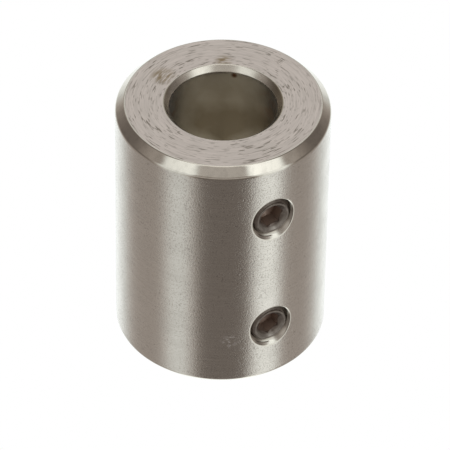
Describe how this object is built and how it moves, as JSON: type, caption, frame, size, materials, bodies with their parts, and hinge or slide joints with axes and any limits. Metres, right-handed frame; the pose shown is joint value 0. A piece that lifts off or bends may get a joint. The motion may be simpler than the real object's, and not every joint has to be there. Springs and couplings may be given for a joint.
{
  "type": "rigid sleeve shaft coupling",
  "caption": "Solid round steel sleeve with a plain through bore that joins shafts end to end, held by recessed hex socket set screws.",
  "frame": {"origin": "on the bore's axis, at mid-length of the sleeve", "axes": "+Z along the bore, towards the upper end; the set screws face -Y, and +X completes the right-hand frame"},
  "size_m": [0.024, 0.024, 0.032],
  "materials": {
    "sleeve_steel": "turned, fine lathe marks",
    "screw_steel": "black oxide, slight oil sheen"
  },
  "bodies": {
    "sleeve": {"sleeve": "sleeve_steel"},
    "upper_point": {"upper_cup_point": "screw_steel"},
    "upper_screw": {"upper_set_screw": "screw_steel"},
    "lower_point": {"lower_cup_point": "screw_steel"},
    "lower_screw": {"lower_set_screw": "screw_steel"}
  },
  "joints": [
    {"name": "upper_screw_travel", "type": "slide", "parent": "sleeve", "child": "upper_point", "axis": [0, -1, 0], "range_m": [-0.0008, 0.0056]},
    {"name": "upper_screw_turn", "type": "hinge", "parent": "upper_point", "child": "upper_screw", "pos_m": [0, -0.0117, 0.008], "axis": [0, -1, 0], "range_deg": [-360, 2520]},
    {"name": "lower_screw_travel", "type": "slide", "parent": "sleeve", "child": "lower_point", "axis": [0, -1, 0], "range_m": [-0.0008, 0.0056]},
    {"name": "lower_screw_turn", "type": "hinge", "parent": "lower_point", "child": "lower_screw", "pos_m": [0, -0.0117, -0.008], "axis": [0, -1, 0], "range_deg": [-360, 2520]}
  ],
  "couplings": [
    {"joint": "upper_screw_turn", "follows": "upper_screw_travel", "rad_per_m": 7854},
    {"joint": "lower_screw_turn", "follows": "lower_screw_travel", "rad_per_m": 7854}
  ]
}
